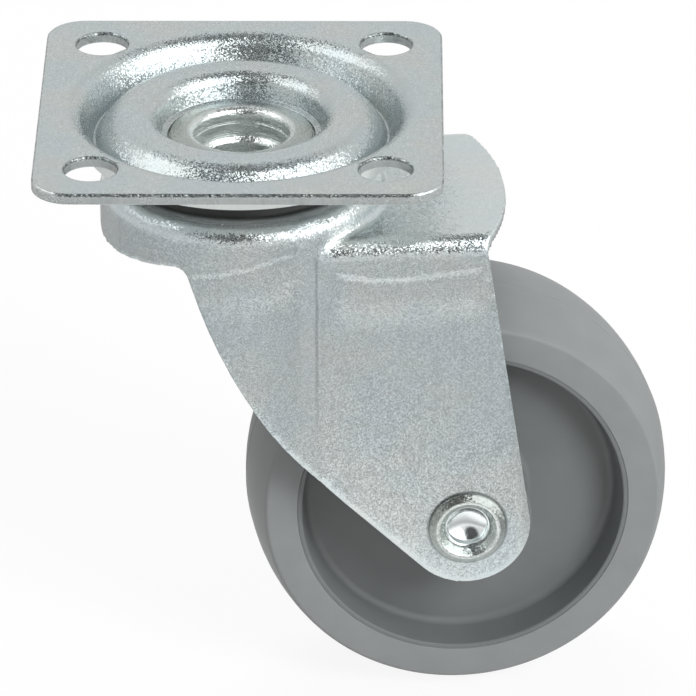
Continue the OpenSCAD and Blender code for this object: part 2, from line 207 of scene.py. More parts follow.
def draw_section(mesh, points, closed):
    """Draws a section in millimetres: (radius, height) points, with a round's radius if any"""
    corners = [mesh.verts.new((point[0] * MM, 0.0, point[1] * MM)) for point in points]
    for start, end in zip(corners, corners[1:] + corners[:1] if closed else corners[1:]):
        mesh.edges.new((start, end))
    for corner, point in zip(corners, points):
        if len(point) > 2:
            round_corner(mesh, corner, point[2] * MM)


def spin_section(mesh, steps=TURN_STEPS):
    """Turns all that a mesh holds about Z"""
    bmesh.ops.spin(mesh, geom=mesh.verts[:] + mesh.edges[:], cent=(0, 0, 0), axis=UPWARD,
                   angle=2 * math.pi, steps=steps, use_merge=True)


def turned(points, closed=True, steps=TURN_STEPS):
    """Piece turned about Z from its section"""
    mesh = bmesh.new()
    draw_section(mesh, points, closed)
    spin_section(mesh, steps)
    bmesh.ops.remove_doubles(mesh, verts=mesh.verts, dist=WELD)
    bmesh.ops.recalc_face_normals(mesh, faces=mesh.faces)
    return mesh


def mirrored_ends(points):
    """A section's points followed by their mirror image below the middle"""
    return points + [(point[0], -point[1], *point[2:]) for point in reversed(points)]


def smooth(mesh, verts):
    """Moves vertices halfway towards the middle of their neighbours"""
    bmesh.ops.smooth_vert(mesh, verts=verts, factor=0.5,
                          use_axis_x=True, use_axis_y=True, use_axis_z=True)


def smooth_step(value, start, end):
    """0 at the start and 1 at the end, with a soft change between them"""
    share = min(1.0, max(0.0, (value - start) / (end - start)))
    return share * share * (3 - 2 * share)


def plateau(value, rise, fall):
    """1 between two soft changes, each given by its start and end"""
    return smooth_step(value, *rise) * smooth_step(value, *fall)


def height_on(points, x):
    """Height of a line through points at x, or None beside it"""
    for (x0, z0), (x1, z1) in zip(points, points[1:]):
        if x0 <= x <= x1:
            return z0 + (z1 - z0) * (x - x0) / (x1 - x0)
    return None


def add_piece(mesh, name, body, nodes, finish, place=None, flats=False):
    """Makes a mesh a piece that stands for CAD nodes and rides on their body"""
    if place:
        bmesh.ops.transform(mesh, matrix=place, verts=mesh.verts)
    data = bpy.data.meshes.new(name)
    mesh.to_mesh(data)
    mesh.free()
    data.polygons.foreach_set("use_smooth", [True] * len(data.polygons))
    data.set_sharp_from_angle(angle=SHARP)
    data.materials.append(finish)
    piece = bpy.data.objects.new(name, data)
    bpy.context.scene.collection.objects.link(piece)
    if flats:
        weights = piece.modifiers.new("Flats", "WEIGHTED_NORMAL")
        weights.keep_sharp = True
    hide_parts(*nodes)
    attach(piece, body)
    return piece


# Shader nodes


class Signal:
    """Socket of a shader node, with arithmetic"""

    def __init__(self, finish, socket):
        self.finish = finish
        self.socket = socket

    def combine(self, operation, first, second):
        return self.finish.node("ShaderNodeMath", {"operation": operation}, {0: first, 1: second})

    def beside(self, output):
        """Another output of the same node"""
        return Signal(self.finish, self.socket.node.outputs[output])

    def or_larger(self, other):
        return self.combine("MAXIMUM", self, other)

    def __add__(self, other):
        return self.combine("ADD", self, other)

    def __radd__(self, other):
        return self.combine("ADD", other, self)

    def __sub__(self, other):
        return self.combine("SUBTRACT", self, other)

    def __rsub__(self, other):
        return self.combine("SUBTRACT", other, self)

    def __mul__(self, other):
        return self.combine("MULTIPLY", self, other)

    def __rmul__(self, other):
        return self.combine("MULTIPLY", other, self)


class Finish:
    """Material or world that is built from nodes"""

    def __init__(self, owner, output):
        owner.use_nodes = True
        self.owner = owner
        self.tree = owner.node_tree
        self.tree.nodes.clear()
        self.output = self.tree.nodes.new(output)

    def node(self, kind, settings=None, inputs=None, output=0):
        """Adds a node with its settings and inputs, and returns one of its outputs"""
        made = self.tree.nodes.new(kind)
        for key, value in (settings or {}).items():
            if key == "stops":
                self.set_stops(made.color_ramp, value)
            else:
                setattr(made, key, value)
        for key, value in (inputs or {}).items():
            if isinstance(value, Signal):
                self.tree.links.new(value.socket, made.inputs[key])
            else:
                made.inputs[key].default_value = value
        return Signal(self, made.outputs[output])

    @staticmethod
    def set_stops(ramp, stops):
        """Puts grey stops on a colour ramp from (place, level) pairs"""
        while len(ramp.elements) < len(stops):
            ramp.elements.new(1.0)
        for element, (place, level) in zip(ramp.elements, stops):
            element.position = place
            element.color = (level, level, level, 1.0)

    def coordinates(self):
        return self.node("ShaderNodeTexCoord", output="Object")

    def noise(self, size, detail=2.0, roughness=0.5, stretch=None):
        """Noise whose features are of a size in millimetres"""
        where = self.coordinates()
        if stretch:
            where = self.node("ShaderNodeMapping", inputs={"Vector": where, "Scale": stretch})
        return self.node("ShaderNodeTexNoise", inputs={
            "Vector": where, "Scale": 1 / (size * MM), "Detail": detail, "Roughness": roughness})

    def vector(self, operation, first, second, output="Vector"):
        return self.node("ShaderNodeVectorMath", {"operation": operation},
                         {0: first, 1: second}, output)

    def along(self, vector, direction):
        """How far a vector reaches along a direction"""
        return self.vector("DOT_PRODUCT", vector, direction, "Value")

    def distance(self, vector, place=(0.0, 0.0, 0.0)):
        return self.vector("DISTANCE", vector, place, "Value")

    def from_swivel(self):
        """Distance from the swivel's upright axis"""
        return self.distance(self.vector("MULTIPLY", self.coordinates(), (1, 1, 0)))

    def from_axle(self):
        """Distance from the wheel's axis"""
        arm = self.vector("SUBTRACT", self.coordinates(), AXLE)
        return self.distance(self.vector("CROSS_PRODUCT", arm, FORK_ASIDE))

    def crystals(self, size):
        """Height over crystals of a size in millimetres, each tilted its own way"""
        where = self.coordinates()
        middle = self.node("ShaderNodeTexVoronoi", {"feature": "F1"}, {
            "Vector": where, "Scale": 1 / (size * MM)}, "Position")
        tilt = self.vector("SUBTRACT", middle.beside("Color"), (0.5, 0.5, 0.5))
        return self.along(self.vector("SUBTRACT", where, middle), tilt) * (1 / (size * MM))

    def without_sign(self, value):
        return self.node("ShaderNodeMath", {"operation": "ABSOLUTE"}, {0: value})

    def soft_step(self, value, start, end):
        """0 at the start and 1 at the end, with a soft change between them"""
        return self.node("ShaderNodeMapRange", {"interpolation_type": "SMOOTHSTEP"},
                         {"Value": value, "From Min": start, "From Max": end})

    def zone(self, value, start, end, origin=0.0):
        """Soft step between two lengths in millimetres that are counted from an origin"""
        return self.soft_step(value, origin + start * MM, origin + end * MM)

    def between(self, value, rise, fall):
        """1 between two soft steps, each given by its start and end in millimetres"""
        return self.zone(value, *rise) * self.zone(value, *fall)

    def line(self, value, middle, outer, inner):
        """1 within an inner distance from a middle and 0 beyond an outer one, in millimetres"""
        return self.zone(self.without_sign(value - middle * MM), outer, inner)

    def ramp(self, factor, stops):
        return self.node("ShaderNodeValToRGB", {"stops": stops}, {"Fac": factor})

    def contrast(self, value, low, high):
        """Black below a level, white above another"""
        return self.ramp(value, [(low, 0.0), (high, 1.0)])

    def mix(self, factor, first, second):
        """Colour between two colours"""
        return self.node("ShaderNodeMix", {"data_type": "RGBA"},
                         {0: factor, 6: first, 7: second}, 2)

    def stain(self, base, stain, mask, share=1.0):
        """Colour with a share of another colour over it where the mask is 1"""
        return self.mix(mask * share, base, rgba(stain))

    def finish_with(self, shader):
        self.tree.links.new(shader.socket, self.output.inputs["Surface"])
        return self.owner


def rgba(value):
    return (*value, 1.0)


def material(name):
    return Finish(bpy.data.materials.new(name), "ShaderNodeOutputMaterial")


# Finishes: colours of what lies on the plating and of painted light and shade, and zones in
# millimetres, each with the place where its soft change starts and the place where it ends

METAL = 0.9
PIT = (0.16, 0.17, 0.18)
TORN_EDGE = (0.10, 0.11, 0.105)
SHEARED_DARK = (0.42, 0.455, 0.45)
SHEARED_LIGHT = (0.50, 0.535, 0.53)
# Pale colour painted on the plate's downward faces, as painted light
UNDERSIDE_PAINTED_LIGHT = (0.72, 0.76, 0.74)
DRAW_MARK = (0.30, 0.33, 0.35)
# Painted highlight on the fold between head and leg
FOLD_PAINTED_HIGHLIGHT = (0.80, 0.85, 0.88)
# Paler zinc painted on the head's crown and on the tongue, as painted light
PAINTED_LIGHT_ZINC = (0.80, 0.86, 0.86)
# Dark colour painted in the legs' crease and around the axle rivet, as painted shade
CREASE_AND_GAP_SHADE = (0.16, 0.18, 0.19)
# Near black of grease in the race, darkened further as painted shade under the plate
GREASE_AND_SHADE = (0.018, 0.02, 0.018)
# Dark colour painted on the axle rivet's slope, seam and step, as painted shade
RIVET_PAINTED_SHADE = (0.12, 0.13, 0.125)
# Painted light in the swivel rivet's mouth
MOUTH_PAINTED_LIGHT = (0.67, 0.71, 0.695)
# Painted highlight along the axle rivet's crest
CREST_PAINTED_HIGHLIGHT = (0.80, 0.84, 0.82)
# Painted light in the axle rivet's bore
BORE_PAINTED_LIGHT = (0.80, 0.84, 0.84)

FROM_OUTLINE = (-0.5, -0.2)
FROM_HOLE = (0.3, 0.1)
RIM_DEPTH = (0.35, 0.6)
TORN_DEPTHS = ((0.02, 0.08), (0.6, 0.4))

RACE_RADIUS = (19.2, 18.1)
RACE_HEIGHT = (-10.9, -10.3)
CROWN_RADIUS = (20.4, 18.6)
CROWN_HEIGHT = (-11.8, -10.8)
TONGUE_AHEAD = (10.0, 14.0)
TONGUE_HEIGHT = (-15.0, -14.5)
LEG_WALL = (17.5, 18.4)
CREASE_LINE = (9.25, 0.4, 0.05)
CREASE_HEIGHTS = ((-48.0, -34.0), (-15.5, -17.5))
FOLD_AHEAD = ((6.2, 7.6), (9.7, 9.3))
FOLD_HEIGHT = (-58.0, -30.0)
# Ring of painted shade on the leg around the axle rivet
RIVET_GAP_SHADE = (6.35, 6.0)

BORE_RADIUS = (3.5, 3.2)
STEP_LINE = (3.45, 0.16, 0.04)
CREST_LINE = (4.6, 0.4, 0.1)
SLOPE_RADII = ((4.75, 5.1), (6.4, 6.2))
SEAM_RADII = ((5.6, 5.9), (6.4, 6.2))
MOUTH_RADIUS = (8.3, 7.5)


def zinc(name, cool, warm, grain=0.17, grit=0.9, roughness=0.14, details=None):
    """Bright zinc plating on pressed steel, with a fine crystal grain"""
    finish = material(name)
    cloud = finish.noise(11.0, detail=3.0)
    patch = finish.noise(2.6, detail=3.0, roughness=0.6)
    swell = finish.noise(1.7)
    crystal = finish.crystals(grain) * 0.3 + finish.noise(grain * 2.2) * 0.08
    pits = (finish.contrast(finish.noise(0.7, detail=4.0, roughness=0.7), 0.63, 0.69)
            * finish.contrast(patch, 0.52, 0.64))
    tint = finish.mix(finish.contrast(cloud, 0.36, 0.64), rgba(cool), rgba(warm))
    base = finish.stain(tint, PIT, pits, 0.5)
    height = crystal + swell * 0.14
    rough = roughness + (patch - 0.5) * 0.2 + pits * 0.2
    metal = METAL
    if details:
        base, height, rough, metal = details(finish, base, height, rough)
    bump = finish.node("ShaderNodeBump", inputs={
        "Height": height, "Strength": grit, "Distance": 0.2 * MM})
    shader = finish.node("ShaderNodeBsdfPrincipled", inputs={
        "Base Color": base, "Metallic": metal, "Normal": bump, "Roughness": rough})
    return finish.finish_with(shader)


def sheared_rims(plate):
    """Makes the details of the plate: dull sheared rims with a torn edge, and a dull underside
    painted pale as painted light
    """
    def details(finish, base, height, rough):
        where = finish.coordinates()
        quarter = finish.vector("ABSOLUTE", where, (0, 0, 0))
        hole = (plate.pitch / 2, plate.pitch / 2, 0)
        edge = finish.zone(finish.distance(finish.vector("MULTIPLY", quarter, (1, 1, 0)), hole),
                           *FROM_HOLE, origin=plate.hole / 2)
        for direction in ((1, 0, 0), (0, 1, 0)):
            edge = edge.or_larger(finish.zone(finish.along(quarter, direction), *FROM_OUTLINE,
                                              origin=plate.side / 2))
        depth = finish.along(where, DOWNWARD)
        rim = edge * finish.zone(depth, *RIM_DEPTH)
        marks = finish.noise(0.8, detail=4.0, roughness=0.7, stretch=(1.0, 1.0, 0.25))
        ragged = finish.contrast(finish.noise(0.5, detail=4.0, roughness=0.75), 0.4, 0.5)
        torn = edge * ragged * finish.between(depth, *TORN_DEPTHS)
        # Downward faces are painted pale and less metallic: painted light on the underside
        normal = finish.node("ShaderNodeNewGeometry", output="True Normal")
        under = finish.soft_step(finish.along(normal, DOWNWARD), 0.2, 0.5)
        sheared = finish.mix(finish.contrast(marks, 0.35, 0.65), rgba(SHEARED_DARK),
                             rgba(SHEARED_LIGHT))
        base = finish.mix(rim, finish.stain(base, TORN_EDGE, torn, 0.8), sheared)
        base = finish.stain(base, UNDERSIDE_PAINTED_LIGHT, under)
        return (base, height + rim * marks * 0.3, rough + rim * 0.15 + under * 0.3,
                METAL - rim * 0.1 - under * 0.7)
    return details


def drawn_steel(finish, base, height, rough):
    """Details of the fork: draw marks, a painted highlight on the fold, painted light on the
    tongue and crown, painted shade in the crease and around the axle rivet, and grease with
    painted shade in the race
    """
    where = finish.coordinates()
    ahead = finish.along(where, FORK_AHEAD)
    upright = finish.along(where, UPWARD)
    radius = finish.from_swivel()
    wall = finish.zone(finish.without_sign(finish.along(where, FORK_ASIDE)), *LEG_WALL)
    marks = finish.noise(1.1, detail=3.0, roughness=0.6, stretch=(1.0, 1.0, 0.08))
    lines = finish.contrast(marks, 0.56, 0.72)
    wander = finish.noise(2.4, stretch=(1.0, 1.0, 0.3)) * (0.7 * MM)
    # Painted shade: a dark line along the upright crease of each leg
    crease = (finish.line(ahead - wander, *CREASE_LINE) * wall
              * finish.between(upright, *CREASE_HEIGHTS))
    # Painted highlight: a lighter band where the head folds into each leg
    fold = finish.between(ahead, *FOLD_AHEAD) * finish.zone(upright, *FOLD_HEIGHT) * wall
    tongue = (finish.zone(ahead, *TONGUE_AHEAD) * finish.zone(upright, *TONGUE_HEIGHT)
              * (1 - wall))
    # Painted light: the crown under the plate and the tongue are painted paler, the crown also
    # less metallic
    crown = finish.zone(radius, *CROWN_RADIUS) * finish.zone(upright, *CROWN_HEIGHT)
    # Grease with painted shade: the race under the plate is painted near black
    grease = finish.zone(radius, *RACE_RADIUS) * finish.zone(upright, *RACE_HEIGHT)
    base = finish.stain(base, DRAW_MARK, lines, 0.12)
    base = finish.stain(base, FOLD_PAINTED_HIGHLIGHT, fold, 0.16)
    base = finish.stain(base, CREASE_AND_GAP_SHADE, crease, 0.3)
    # Painted shade in the gap around the axle rivet
    base = finish.stain(base, CREASE_AND_GAP_SHADE, finish.zone(finish.from_axle(), *RIVET_GAP_SHADE), 0.5)
    base = finish.stain(base, PAINTED_LIGHT_ZINC, (crown * 0.4).or_larger(tongue * 0.35))
    base = finish.stain(base, GREASE_AND_SHADE, grease)
    return (base, height + marks * 0.25, rough + lines * 0.05 + grease * 0.2 + crown * 0.1,
            METAL - grease * 0.7 - crown * 0.35)


def bright_bore(finish, base, height, rough):
    """Details of the rivets: painted light in the bores, a painted highlight on the axle rivet's
    crest, and painted shade on its slope, in its seam and at its step
    """
    radius = finish.from_axle()
    bore = finish.zone(radius, *BORE_RADIUS)
    step = finish.line(radius, *STEP_LINE)
    crest = finish.line(radius, *CREST_LINE)
    # Patchy noise that breaks up the painted shade on the rivet's slope
    shade_patches = finish.ramp(finish.noise(0.6, detail=4.0, roughness=0.7), [(0.3, 0.4), (0.6, 1.0)])
    slope = finish.between(radius, *SLOPE_RADII) * shade_patches
    seam = finish.between(radius, *SEAM_RADII)
    # Painted light in the swivel rivet's mouth
    base = finish.stain(base, MOUTH_PAINTED_LIGHT, finish.zone(finish.from_swivel(), *MOUTH_RADIUS))
    # Painted highlight on the crest
    base = finish.stain(base, CREST_PAINTED_HIGHLIGHT, crest, 0.7)
    # Painted shade: the outer slope in patches, then the seam and the step line
    base = finish.stain(base, RIVET_PAINTED_SHADE, slope, 0.45)
    base = finish.stain(base, RIVET_PAINTED_SHADE, seam.or_larger(step), 0.55)
    # Painted light in the axle rivet's bore
    base = finish.stain(base, BORE_PAINTED_LIGHT, bore)
    return base, height * (1 - 0.92 * bore), rough - bore * 0.08, 0.92


def moulded(name, base_colour, roughness, mottle=0.04):
    """Matt moulded grey with a faint mottle"""
    finish = material(name)
    cloud = finish.noise(5.0, detail=3.0)
    fine = finish.noise(0.35, detail=3.0, roughness=0.6)
    shade = tuple(channel * (1 - mottle) for channel in base_colour)
    light = tuple(channel * (1 + mottle) for channel in base_colour)
    base = finish.mix(finish.contrast(cloud, 0.3, 0.7), rgba(shade), rgba(light))
    bump = finish.node("ShaderNodeBump", inputs={
        "Height": fine + cloud * 0.5, "Strength": 0.25, "Distance": 0.03 * MM})
    shader = finish.node("ShaderNodeBsdfPrincipled", inputs={
        "Base Color": base, "Roughness": roughness + (cloud - 0.5) * 0.1, "Normal": bump})
    return finish.finish_with(shader)


def polished(name, base_colour):
    """Smooth steel, slightly smeared"""
    finish = material(name)
    smear = finish.noise(1.5)
    shader = finish.node("ShaderNodeBsdfPrincipled", inputs={
        "Base Color": rgba(base_colour), "Metallic": 1.0, "Roughness": 0.08 + smear * 0.12})
    return finish.finish_with(shader)


# Pieces


class CASTOR_OT_top_plate(bpy.types.Operator):
    """Models the square plate with its holes and its pressed dish"""

    bl_idname = "castor.top_plate"
    bl_label = "Top Plate"

    DISH = [(8.25, -5.2), (10.9, -5.2, 0.1), (11.0, -4.75, 0.15), (11.9, -4.6, 0.08),
            (12.0, -4.25, 0.1), (13.0, -1.0, 2.3), (18.4, -1.0, 3.0), (20.9, -3.5, 3.0),
            (21.65, -5.15, 0.2), (22.05, -5.2, 0.2), (24.6, 0.0, 2.9), (26.45, 0.0)]
    GROOVE_START = 20 * MM
    GROOVE_LEVEL = -5.2 * MM
    GROOVE_SHARE = 0.6
    RIM_ANGLE = math.radians(60)

    def execute(self, context):
        sizes = context.scene.castor.plate
        mesh = bmesh.new()
        draw_section(mesh, self.DISH, closed=False)
        spin_section(mesh)
        self.add_flat(mesh, sizes)
        bmesh.ops.remove_doubles(mesh, verts=mesh.verts, dist=WELD)
        self.face_up(mesh)
        bmesh.ops.solidify(mesh, geom=mesh.faces[:], thickness=sizes.sheet)
        self.thin_groove(mesh)
        bmesh.ops.recalc_face_normals(mesh, faces=mesh.faces)
        self.round_rims(mesh, sizes)
        colours = context.scene.castor.finishes
        # The plate's zinc takes the darker plate colours: painted shade against the fork's zinc
        add_piece(mesh, "pressed_plate", "plate", ["top_plate"],
                  zinc("Plate Zinc", colours.shaded_plate_cool, colours.shaded_plate_warm,
                       details=sheared_rims(sizes)), flats=True)
        return {"FINISHED"}

    def add_flat(self, mesh, sizes):
        """Adds the flat face between the dish, the holes and the rounded square outline"""
        outline = bmesh.ops.create_circle(mesh, segments=4, radius=sizes.side / math.sqrt(2))
        bmesh.ops.rotate(mesh, verts=outline["verts"], cent=(0, 0, 0),
                         matrix=Matrix.Rotation(math.pi / 4, 3, "Z"))
        for corner in outline["verts"]:
            round_corner(mesh, corner, sizes.corner)
        for x in (-0.5, 0.5):
            for y in (-0.5, 0.5):
                hole = bmesh.ops.create_circle(mesh, segments=HOLE_STEPS, radius=sizes.hole / 2)
                bmesh.ops.translate(mesh, verts=hole["verts"],
                                    vec=(x * sizes.pitch, y * sizes.pitch, 0))
        edge_of_dish = self.DISH[-1][0] * MM - WELD
        rims = [edge for edge in mesh.edges
                if len(edge.link_faces) < 2
                and all(vert.co.xy.length > edge_of_dish for vert in edge.verts)]
        bmesh.ops.triangle_fill(mesh, use_beauty=True, use_dissolve=False, edges=rims,
                                normal=UPWARD)

    @staticmethod
    def face_up(mesh):
        """Turns the open surface so that its faces point up"""
        bmesh.ops.recalc_face_normals(mesh, faces=mesh.faces)
        if sum(face.normal.z * face.calc_area() for face in mesh.faces) < 0:
            bmesh.ops.reverse_faces(mesh, faces=mesh.faces)

    def thin_groove(self, mesh):
        """Thins the sheet under the groove's sharp bottom, where the press draws it"""
        for vert in mesh.verts:
            below = vert.co.z - self.GROOVE_LEVEL
            if below < 0 and vert.co.xy.length > self.GROOVE_START:
                vert.co.z = self.GROOVE_LEVEL + below * self.GROOVE_SHARE

    def round_rims(self, mesh, sizes):
        """Rounds the sheared rims, more on the upper face than on the lower"""
        flat = self.DISH[-1][0] * MM
        for upper, radius in ((True, sizes.rim_round), (False, sizes.burr_round)):
            rims = [edge for edge in mesh.edges
                    if edge.calc_face_angle(0) > self.RIM_ANGLE
                    and all(vert.co.xy.length > flat for vert in edge.verts)
                    and (edge.verts[0].co.z > -sizes.sheet / 2) == upper]
            bmesh.ops.bevel(mesh, geom=rims, affect="EDGES", offset=radius,
                            offset_type="OFFSET", segments=3, profile=0.5, material=-1)


class CASTOR_OT_rivets(bpy.types.Operator):
    """Models the hollow swivel rivet and the tubular axle rivet"""

    bl_idname = "castor.rivets"
    bl_label = "Rivets"

    SWIVEL = [(8.2, -5.2), (10.7, -5.2, 0.1), (10.7, -4.5, 0.3), (8.7, -4.0, 1.0),
              (6.9, -4.0, 1.15), (6.9, -5.4, 0.1), (7.15, -5.5, 0.05), (7.15, -6.15, 0.05),
              (6.88, -6.3, 0.1), (6.85, -7.6, 0.08), (7.05, -7.7, 0.03), (7.0, -7.95, 0.05),
              (6.3, -8.1, 0.5), (5.6, -8.9, 0.7), (5.6, -18.9, 0.3), (11.5, -18.9, 0.3),
              (11.5, -17.2, 0.3), (8.2, -17.2)]
    AXLE_END = [(0.0, 15.4), (3.1, 17.35, 0.1), (3.1, 18.6, 0.15), (3.35, 18.7, 0.05),
                (3.45, 19.0, 0.1), (4.45, 19.95, 0.25), (4.85, 20.0, 0.3), (5.9, 19.35, 0.3),
                (5.95, 18.9), (4.1, 18.9)]

    def execute(self, context):
        colours = context.scene.castor.finishes
        plating = zinc("Rivet Zinc", colours.rivet_cool, colours.rivet_warm, grit=0.8,
                       details=bright_bore)
        add_piece(turned(self.SWIVEL), "swivel_rivet", "plate", ["king_rivet"],
                  plating)
        add_piece(turned(mirrored_ends(self.AXLE_END), closed=False), "tubular_rivet", "fork",
                  ["axle_rivet"], plating, place=WHEEL_PLACE)
        return {"FINISHED"}


class CASTOR_OT_bearings(bpy.types.Operator):
    """Models both rings of balls, the lower race and the axle's sleeve"""

    bl_idname = "castor.bearings"
    bl_label = "Bearings"

    LOWER_RACE = [(8.25, -15.7), (13.3, -15.7, 2.4), (14.7, -13.9, 1.6), (16.8, -13.9, 0.2),
                  (16.8, -15.4, 0.2), (15.55, -15.4, 0.2), (14.1, -17.2, 3.0),
                  (8.25, -17.2)]
    SLEEVE_END = [(4.15, 17.1, 0.2), (5.65, 17.1, 0.2)]
    BALL_RADIUS = 2.4 * MM

    def execute(self, context):
        colours = context.scene.castor.finishes
        plating = zinc("Race Zinc", colours.zinc_cool, colours.zinc_warm)
        steel = polished("Ball Steel", colours.ball)
        add_piece(turned(self.LOWER_RACE), "pressed_race", "plate", ["lower_race"],
                  plating)
        add_piece(turned(mirrored_ends(self.SLEEVE_END)), "spacer_tube", "fork",
                  ["axle_sleeve"], polished("Sleeve Steel", colours.steel),
                  place=WHEEL_PLACE)
        for row in ("upper", "lower"):
            nodes = sorted(name for name in frame["nodes"] if name.startswith(row + "_ball"))
            add_piece(self.ball_ring(nodes), row + "_ball_ring", row + "_balls", nodes,
                      steel)
        return {"FINISHED"}

    def ball_ring(self, nodes):
        """Balls at the places of the CAD's balls"""
        mesh = bmesh.new()
        for node in nodes:
            low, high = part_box(node)
            centre = (Vector(low) + Vector(high)) / 2
            bmesh.ops.create_icosphere(mesh, subdivisions=3, radius=self.BALL_RADIUS,
                                       matrix=Matrix.Translation(centre))
        return mesh


class CASTOR_OT_fork(bpy.types.Operator):
    """Models the fork's skin: the drawn sheet with soft folds and rounded rims"""

    bl_idname = "castor.fork"
    bl_label = "Fork"

    # Where the cut rims of the sheet are found, and how near the skin is drawn to them
    CUT_SLANT = 0.02
    CUT_TOP = -10.5 * MM
    CUT_REACH = 0.32 * MM

    # In millimetres, x ahead of the swivel's axis and z up
    FOLD = (9.5, -13.5)
    WALL_START = 14.0
    WALL_TOP = -12.0
    CREASE_X = 9.5
    CREASE_WIDTH = 0.55
    CREASE_DEPTH = 0.22
    CREASE_FADES = ((-50.0, -38.0), (-15.5, -18.5))

    # Each step's upper line, its depth and half the width of its soft edge
    STEPS = [([(11.5, -19.2), (17.0, -20.5), (22.0, -20.7), (28.0, -20.2), (35.0, -19.3)],
              0.42, 0.9),
             ([(-10.0, -18.6), (-5.0, -17.9), (0.0, -16.6), (4.0, -15.4), (8.0, -14.8)],
              0.3, 0.8)]
    STEP_FADE = (9.0, 3.0)
    STEP_END = 2.0

    def execute(self, context):
        sizes = context.scene.castor.fork
        mesh, rims = self.remade_skin(sizes)
        for _ in range(sizes.skin_passes):
            smooth(mesh, mesh.verts)
        for vert in mesh.verts:
            on_rim = rims.find_nearest(vert.co, self.CUT_REACH)[0]
            if on_rim:
                vert.co = on_rim
        self.soften_folds(mesh, sizes)
        self.press_marks(mesh)
        colours = context.scene.castor.finishes
        add_piece(mesh, "drawn_fork", "fork", ["fork"],
                  zinc("Fork Zinc", colours.zinc_cool, colours.zinc_warm, grit=0.75,
                       details=drawn_steel), place=FORK_PLACE)
        return {"FINISHED"}

    def remade_skin(self, sizes):
        """Even mesh over the CAD's fork in the fork's own directions, and the sheet's cut rims"""
        mesh = bmesh.new()
        mesh.from_mesh(frame["nodes"]["fork"].data)
        bmesh.ops.remove_doubles(mesh, verts=mesh.verts, dist=WELD)
        bmesh.ops.transform(mesh, matrix=FORK_PLACE.inverted(), verts=mesh.verts)
        mesh.normal_update()
        cut = [face for face in mesh.faces
               if abs(face.normal.y) < self.CUT_SLANT
               and face.calc_center_median().z < self.CUT_TOP]
        rims = BVHTree.FromPolygons([vert.co.copy() for vert in mesh.verts],
                                    [[vert.index for vert in face.verts] for face in cut])
        data = bpy.data.meshes.new("fork_blank")
        mesh.to_mesh(data)
        blank = bpy.data.objects.new("fork_blank", data)
        bpy.context.scene.collection.objects.link(blank)
        remesh = blank.modifiers.new("Skin", "REMESH")
        remesh.mode = "VOXEL"
        remesh.voxel_size = sizes.voxel
        mesh.clear()
        mesh.from_object(blank, bpy.context.evaluated_depsgraph_get())
        bpy.data.objects.remove(blank)
        bpy.data.meshes.remove(data)
        return mesh, rims

    def soften_folds(self, mesh, sizes):
        """Smooths the skin where the round head folds into each leg"""
        for side in (-1, 1):
            centre = Vector((self.FOLD[0] * MM, side * sizes.half_width, self.FOLD[1] * MM))
            for passed in range(sizes.fold_passes):
                reach = sizes.fold_reach * (1 - passed / (2 * sizes.fold_passes))
                smooth(mesh, [vert for vert in mesh.verts if (vert.co - centre).length < reach])

    def press_marks(self, mesh):
        """Presses the upright crease and the soft steps into both legs' walls"""
        for vert in mesh.verts:
            x, aside, z = (place / MM for place in vert.co)
            if abs(aside) >= self.WALL_START and z <= self.WALL_TOP:
                vert.co.y -= math.copysign(self.pressed(x, z), aside) * MM

    def pressed(self, x, z):
        """Depth in millimetres to which a leg's wall is pressed in"""
        across = (x - self.CREASE_X) / self.CREASE_WIDTH
        depth = self.CREASE_DEPTH * plateau(z, *self.CREASE_FADES) * math.exp(-across ** 2)
        for line, step_depth, soft in self.STEPS:
            level = height_on(line, x)
            if level is not None:
                start, end = line[0][0], line[-1][0]
                depth += (step_depth
                          * plateau(x, (start, start + self.STEP_END), (end, end - self.STEP_END))
                          * plateau(level - z, (-soft, soft), self.STEP_FADE))
        return depth


class CASTOR_OT_wheel(bpy.types.Operator):
    """Models the wheel's centre and its tyre"""

    bl_idname = "castor.wheel"
    bl_label = "Wheel"

    # Places on the tread from the shoulder to the middle, as shares of half the width
    TREAD_LEVELS = [0.92, 0.8, 0.65, 0.5, 0.35, 0.2, 0.08]
    PARTING_HEIGHT = 0.07

    def execute(self, context):
        sizes = context.scene.castor.wheel
        colours = context.scene.castor.finishes
        add_piece(turned(self.centre_section(sizes), steps=WHEEL_STEPS), "moulded_centre",
                  "wheel", ["wheel_centre"],
                  moulded("Wheel Plastic", colours.centre, 0.5), place=WHEEL_PLACE)
        add_piece(turned(self.tyre_section(sizes), steps=WHEEL_STEPS), "moulded_tyre",
                  "wheel", ["tyre"],
                  moulded("Tyre Rubber", colours.tyre, 0.6), place=WHEEL_PLACE)
        return {"FINISHED"}

    @staticmethod
    def centre_section(sizes):
        """Hub, web and rim, with root rounds and a thin lip at the rim's face"""
        rim, face = sizes.rim / 2 / MM, sizes.width / 2 / MM - 0.1
        web, hub, bore = sizes.web / 2 / MM, sizes.hub / 2 / MM, sizes.bore / 2 / MM
        hub_reach = sizes.hub_reach / MM
        wall_top = rim - sizes.rim_wall / MM
        wall_low = wall_top - (sizes.width / 2 / MM - web) * math.tan(sizes.draft)
        return mirrored_ends([
            (bore, hub_reach, 0.3), (hub, hub_reach, 0.4), (hub - 0.1, web, 1.2),
            (wall_low, web, 1.2), (wall_top, face, 0.3), (rim, face, 0.1)])

    def tyre_section(self, sizes):
        """Flat sides, small shoulder rounds and a crowned tread with a faint parting line"""
        rim, face = sizes.rim / 2 / MM, sizes.width / 2 / MM
        crest, shoulder = sizes.diameter / 2 / MM, sizes.shoulder / 2 / MM
        sweep = (crest - shoulder + face * face / (crest - shoulder)) / 2
        tread = [(crest - sweep + math.sqrt(sweep ** 2 - (face * level) ** 2), face * level)
                 for level in self.TREAD_LEVELS]
        tread += [(crest, 0.25), (crest + self.PARTING_HEIGHT, 0.1)]
        return mirrored_ends([(rim, face, 0.15), (shoulder, face, 0.7)] + tread)


